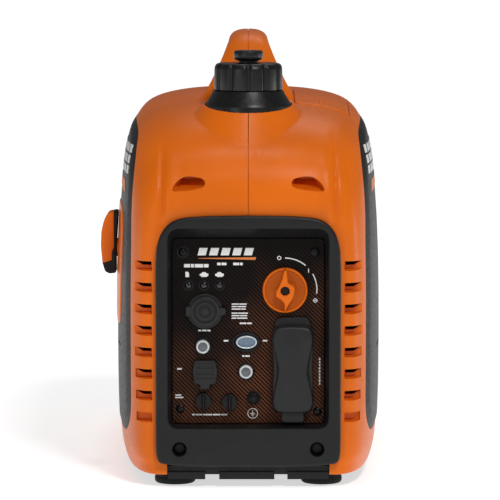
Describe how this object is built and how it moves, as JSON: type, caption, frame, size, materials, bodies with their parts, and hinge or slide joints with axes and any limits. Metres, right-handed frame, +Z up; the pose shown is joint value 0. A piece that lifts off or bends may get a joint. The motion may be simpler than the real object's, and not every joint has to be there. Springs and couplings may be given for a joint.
{
  "type": "inverter generator",
  "caption": "Portable closed-frame inverter generator with a carry handle, recessed control panel, top fuel filler and side recoil starter.",
  "frame": {"origin": "middle of the bounding box, on the ground under the feet", "axes": "+Z up, -Y towards the control panel, +X to the right when facing the panel"},
  "size_m": [0.2871, 0.54, 0.4493],
  "materials": {
    "orange_shell": "satin",
    "charcoal_frame": "fine grained",
    "side_cover": "satin",
    "panel_film": "satin film",
    "rubber": "matt",
    "cap_plastic": "satin",
    "socket_plastic": "satin",
    "button_plastic": "gloss",
    "rocker_plastic": "translucent gloss",
    "lamp_lens": "gloss",
    "black_screw": "black oxide",
    "steel": "machined",
    "cast_aluminium": "cast",
    "winding": "enamelled copper",
    "muffler_steel": "heat stained",
    "tank_plastic": "moulded",
    "rope": "braided",
    "porcelain": "glazed"
  },
  "bodies": {
    "housing": {"ac_receptacle": "socket_plastic", "air_filter_box": "socket_plastic", "base_tray": "charcoal_frame", "bezel_bolt_left": "black_screw", "bezel_bolt_right": "black_screw", "carburetor": "cast_aluminium", "control_panel": "panel_film", "crankcase": "cast_aluminium", "cylinder": "cast_aluminium", "cylinder_head": "cast_aluminium", "dc_socket": "socket_plastic", "filler_collar": "cap_plastic", "foot_front_left": "rubber", "foot_front_right": "rubber", "foot_rear_left": "rubber", "foot_rear_right": "rubber", "front_bezel": "charcoal_frame", "fuel_lamp": "lamp_lens", "fuel_tank": "tank_plastic", "ground_terminal": "black_screw", "inverter_module": "cast_aluminium", "left_cover": "side_cover", "left_shell": "orange_shell", "muffler": "muffler_steel", "overload_lamp": "lamp_lens", "panel_screw_bottom_left": "black_screw", "panel_screw_bottom_right": "black_screw", "panel_screw_top_left": "black_screw", "panel_screw_top_right": "black_screw", "parallel_jack_left": "rubber", "parallel_jack_right": "rubber", "ready_lamp": "lamp_lens", "rear_grille": "charcoal_frame", "recoil_housing": "socket_plastic", "recoil_surround": "orange_shell", "right_cover": "side_cover", "right_shell": "orange_shell", "spark_plug": "porcelain", "stator": "winding", "switch_frame": "socket_plastic", "usb_socket": "socket_plastic"},
    "engine_knob": {"engine_knob": "orange_shell"},
    "eco_rocker": {"eco_rocker": "rocker_plastic"},
    "dc_breaker_button": {"dc_breaker_button": "button_plastic"},
    "ac_breaker_button": {"ac_breaker_button": "button_plastic"},
    "dc_cover": {"dc_cover": "rubber"},
    "usb_cover": {"usb_cover": "rubber"},
    "ac_cover": {"ac_cover": "rubber"},
    "cap_insert": {"cap_insert": "rubber"},
    "fuel_cap": {"fuel_cap": "cap_plastic"},
    "cap_vent_knob": {"cap_vent_knob": "cap_plastic"},
    "starter_pull": {"starter_grip": "orange_shell", "grip_core": "rubber", "starter_rope": "rope"},
    "rope_core": {"starter_rope_core": "rope"},
    "recoil_pulley": {"recoil_pulley": "socket_plastic"},
    "crank_train": {"crankshaft": "steel", "rotor": "steel", "cooling_fan": "socket_plastic"},
    "spark_plug_lid": {"spark_plug_lid": "orange_shell"}
  },
  "joints": [
    {"name": "engine_knob_turn", "type": "hinge", "parent": "housing", "child": "engine_knob", "pos_m": [0.0439, -0.2471, 0.1963], "axis": [0, 1, 0], "range_deg": [0, 110]},
    {"name": "eco_rocker_tilt", "type": "hinge", "parent": "housing", "child": "eco_rocker", "pos_m": [0.0052, -0.2465, 0.1441], "axis": [0, 0, -1], "range_deg": [0, 10]},
    {"name": "dc_breaker_press", "type": "slide", "parent": "housing", "child": "dc_breaker_button", "axis": [0, 1, 0], "range_m": [0, 0.0025], "stiffness_N_per_m": 300, "springref_m": -0.001},
    {"name": "ac_breaker_press", "type": "slide", "parent": "housing", "child": "ac_breaker_button", "axis": [0, 1, 0], "range_m": [0, 0.0025], "stiffness_N_per_m": 300, "springref_m": -0.001},
    {"name": "dc_cover_hinge", "type": "hinge", "parent": "housing", "child": "dc_cover", "pos_m": [-0.0543, -0.252, 0.1752], "axis": [0, 0, -1], "range_deg": [0, 110]},
    {"name": "usb_cover_hinge", "type": "hinge", "parent": "housing", "child": "usb_cover", "pos_m": [-0.0361, -0.2495, 0.1261], "axis": [-1, 0, 0], "range_deg": [0, 100]},
    {"name": "ac_cover_hinge", "type": "hinge", "parent": "housing", "child": "ac_cover", "pos_m": [0.0517, -0.256, 0.1613], "axis": [-1, 0, 0], "range_deg": [0, 110]},
    {"name": "fuel_cap_lift", "type": "slide", "parent": "housing", "child": "cap_insert", "axis": [0, 0, 1], "range_m": [0, 0.06]},
    {"name": "fuel_cap_turn", "type": "hinge", "parent": "cap_insert", "child": "fuel_cap", "pos_m": [0.0073, -0.165, 0.3914], "axis": [0, 0, 1], "range_deg": [0, 340]},
    {"name": "cap_vent_turn", "type": "hinge", "parent": "fuel_cap", "child": "cap_vent_knob", "pos_m": [0.0073, -0.165, 0.4189], "axis": [0, 0, 1], "range_deg": [0, 90]},
    {"name": "starter_pull_slide", "type": "slide", "parent": "housing", "child": "starter_pull", "axis": [-1, 0, 0], "range_m": [0, 0.39], "stiffness_N_per_m": 30, "springref_m": -0.1},
    {"name": "rope_core_slide", "type": "slide", "parent": "housing", "child": "rope_core", "axis": [-1, 0, 0], "range_m": [0, 0.195]},
    {"name": "recoil_pulley_spin", "type": "hinge", "parent": "housing", "child": "recoil_pulley", "pos_m": [0.0073, -0.13, 0.19], "axis": [0, 1, 0], "range_deg": [-600, 0]},
    {"name": "crank_spin", "type": "hinge", "parent": "housing", "child": "crank_train", "pos_m": [0.0073, 0, 0.19], "axis": [0, 1, 0], "continuous": true},
    {"name": "spark_plug_lid_lift", "type": "slide", "parent": "housing", "child": "spark_plug_lid", "axis": [0, 0, 1], "range_m": [0, 0.05]}
  ],
  "couplings": [
    {"joint": "rope_core_slide", "follows": "starter_pull_slide", "ratio": 0.5},
    {"joint": "recoil_pulley_spin", "follows": "starter_pull_slide", "rad_per_m": -26.316}
  ]
}
